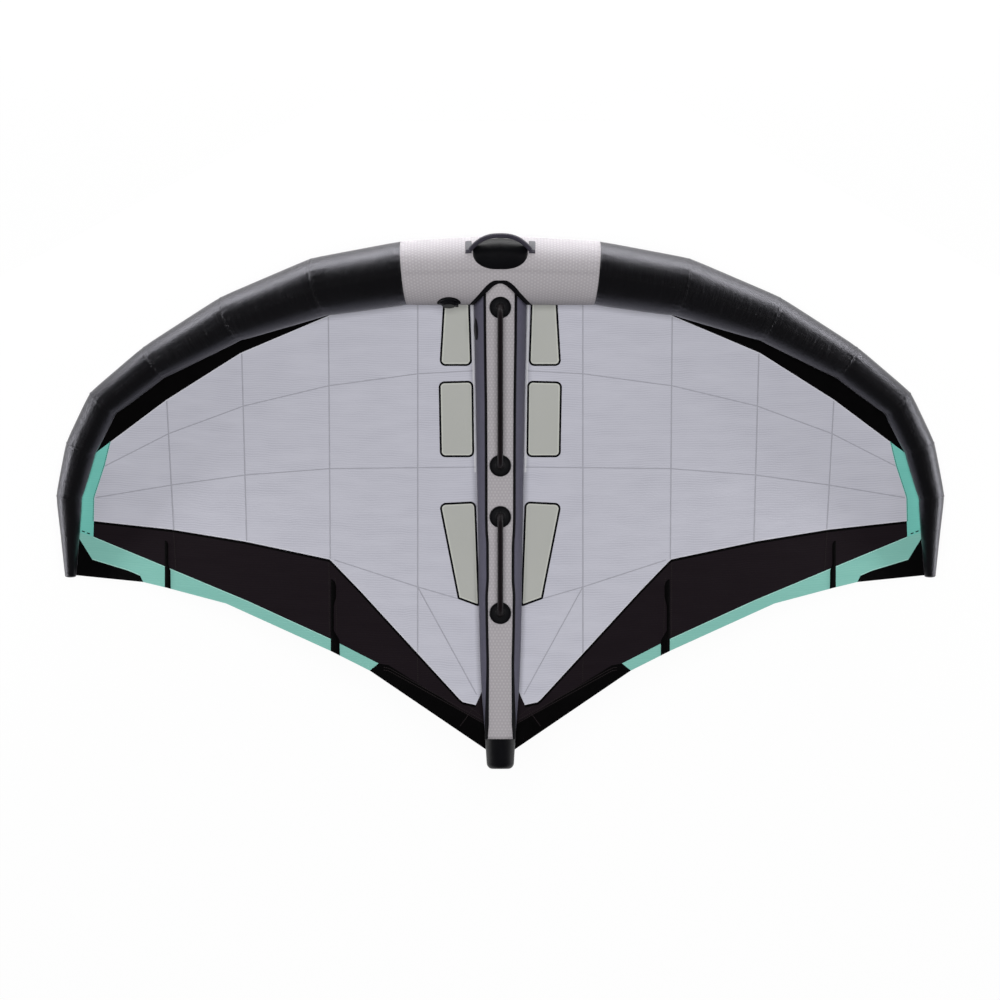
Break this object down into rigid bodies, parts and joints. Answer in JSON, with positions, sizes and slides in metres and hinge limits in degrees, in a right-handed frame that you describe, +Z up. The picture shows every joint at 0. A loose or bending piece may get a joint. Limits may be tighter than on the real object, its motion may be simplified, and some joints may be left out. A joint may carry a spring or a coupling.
{
  "type": "wingfoil wing",
  "caption": "Inflatable hand-held wing: curved leading edge tube, central strut with rigid handles, and a battened canopy with clear windows.",
  "frame": {"origin": "on the ground, under the middle of the wing's box", "axes": "+X along the span to the side shown right in the picture; +Y towards the leading edge; +Z up, with the handles up and the wing resting on the outer panels of its leading edge"},
  "size_m": [2.9982, 1.7734, 0.6286],
  "materials": {
    "light_fabric": "warm grey coated polyester with a fine pattern of paler dots",
    "black_fabric": "black coated polyester, satin",
    "canopy_fabric": "pale grey ripstop with a fine grid",
    "black_canopy": "brownish black ripstop",
    "teal_fabric": "light teal ripstop",
    "deep_teal_fabric": "deeper teal ripstop",
    "window_film": "translucent film with a black tape border",
    "slate_fabric": "slate blue-grey coated polyester",
    "black_webbing": "black webbing and reinforcing cloth",
    "grey_webbing": "grey webbing",
    "black_plastic": "moulded black plastic",
    "black_foam": "moulded black foam rubber, satin",
    "rod_composite": "black composite rod with a thin grip",
    "clear_bladder": "milky polyurethane film",
    "valve_white": "pale moulded polyurethane"
  },
  "bodies": {
    "wing": {"leading_edge_centre_panel": "light_fabric", "leading_edge_panel_1_left": "black_fabric", "leading_edge_panel_1_right": "black_fabric", "leading_edge_panel_2_left": "black_fabric", "leading_edge_panel_2_right": "black_fabric", "leading_edge_panel_3_left": "black_fabric", "leading_edge_panel_3_right": "black_fabric", "leading_edge_panel_4_left": "black_fabric", "leading_edge_panel_4_right": "black_fabric", "leading_edge_panel_5_left": "black_fabric", "leading_edge_panel_5_right": "black_fabric", "leading_edge_panel_6_left": "black_fabric", "leading_edge_panel_6_right": "black_fabric", "leading_edge_panel_7_left": "black_fabric", "leading_edge_panel_7_right": "black_fabric", "canopy_panel_left": "canopy_fabric", "canopy_entry_strip_left": "black_canopy", "canopy_tip_strip_left": "deep_teal_fabric", "trailing_panel_left": "black_canopy", "trailing_strip_left": "teal_fabric", "tip_patch_left": "black_fabric", "window_front_left": "window_film", "window_middle_left": "window_film", "window_rear_left": "window_film", "batten_pocket_inner_left": "black_webbing", "batten_pocket_outer_left": "black_webbing", "canopy_panel_right": "canopy_fabric", "canopy_entry_strip_right": "black_canopy", "canopy_tip_strip_right": "deep_teal_fabric", "trailing_panel_right": "black_canopy", "trailing_strip_right": "teal_fabric", "tip_patch_right": "black_fabric", "window_front_right": "window_film", "window_middle_right": "window_film", "window_rear_right": "window_film", "batten_pocket_inner_right": "black_webbing", "batten_pocket_outer_right": "black_webbing", "trailing_centre_patch": "black_webbing", "strut_top_strip": "light_fabric", "strut_sleeve": "slate_fabric", "strut_saddle": "black_webbing", "strut_end_cap": "black_plastic", "front_handle_rod": "rod_composite", "front_handle_base_1": "black_foam", "front_handle_base_2": "black_foam", "rear_handle_rod": "rod_composite", "rear_handle_base_1": "black_foam", "rear_handle_base_2": "black_foam", "leading_edge_handle_strap": "black_webbing", "leading_edge_handle_pad": "black_foam", "leading_edge_handle_tab_left": "grey_webbing", "leading_edge_handle_tab_right": "grey_webbing", "valve_base": "valve_white", "leading_edge_bladder": "clear_bladder", "strut_bladder": "clear_bladder", "bladder_link_pipe": "clear_bladder", "bladder_link_cover": "black_plastic"},
    "valve_core": {"valve_body": "black_plastic"},
    "valve_poppet": {"valve_poppet": "valve_white"},
    "valve_cap": {"valve_cap": "black_plastic"}
  },
  "joints": [
    {"name": "valve_core_turn", "type": "hinge", "parent": "wing", "child": "valve_core", "pos_m": [-0.173, 0.64201, 0.24425], "axis": [0, -0.8545, 0.5195], "range_deg": [0, 90]},
    {"name": "valve_cap_hinge", "type": "hinge", "parent": "valve_core", "child": "valve_cap", "pos_m": [-0.1452, 0.63757, 0.24695], "axis": [0, 0.5195, 0.8545], "range_deg": [0, 150]},
    {"name": "poppet_slide", "type": "slide", "parent": "valve_core", "child": "valve_poppet", "axis": [0, 0.8545, -0.5195], "range_m": [0, 0.002], "stiffness_N_per_m": 60, "springref_m": -0.003}
  ]
}
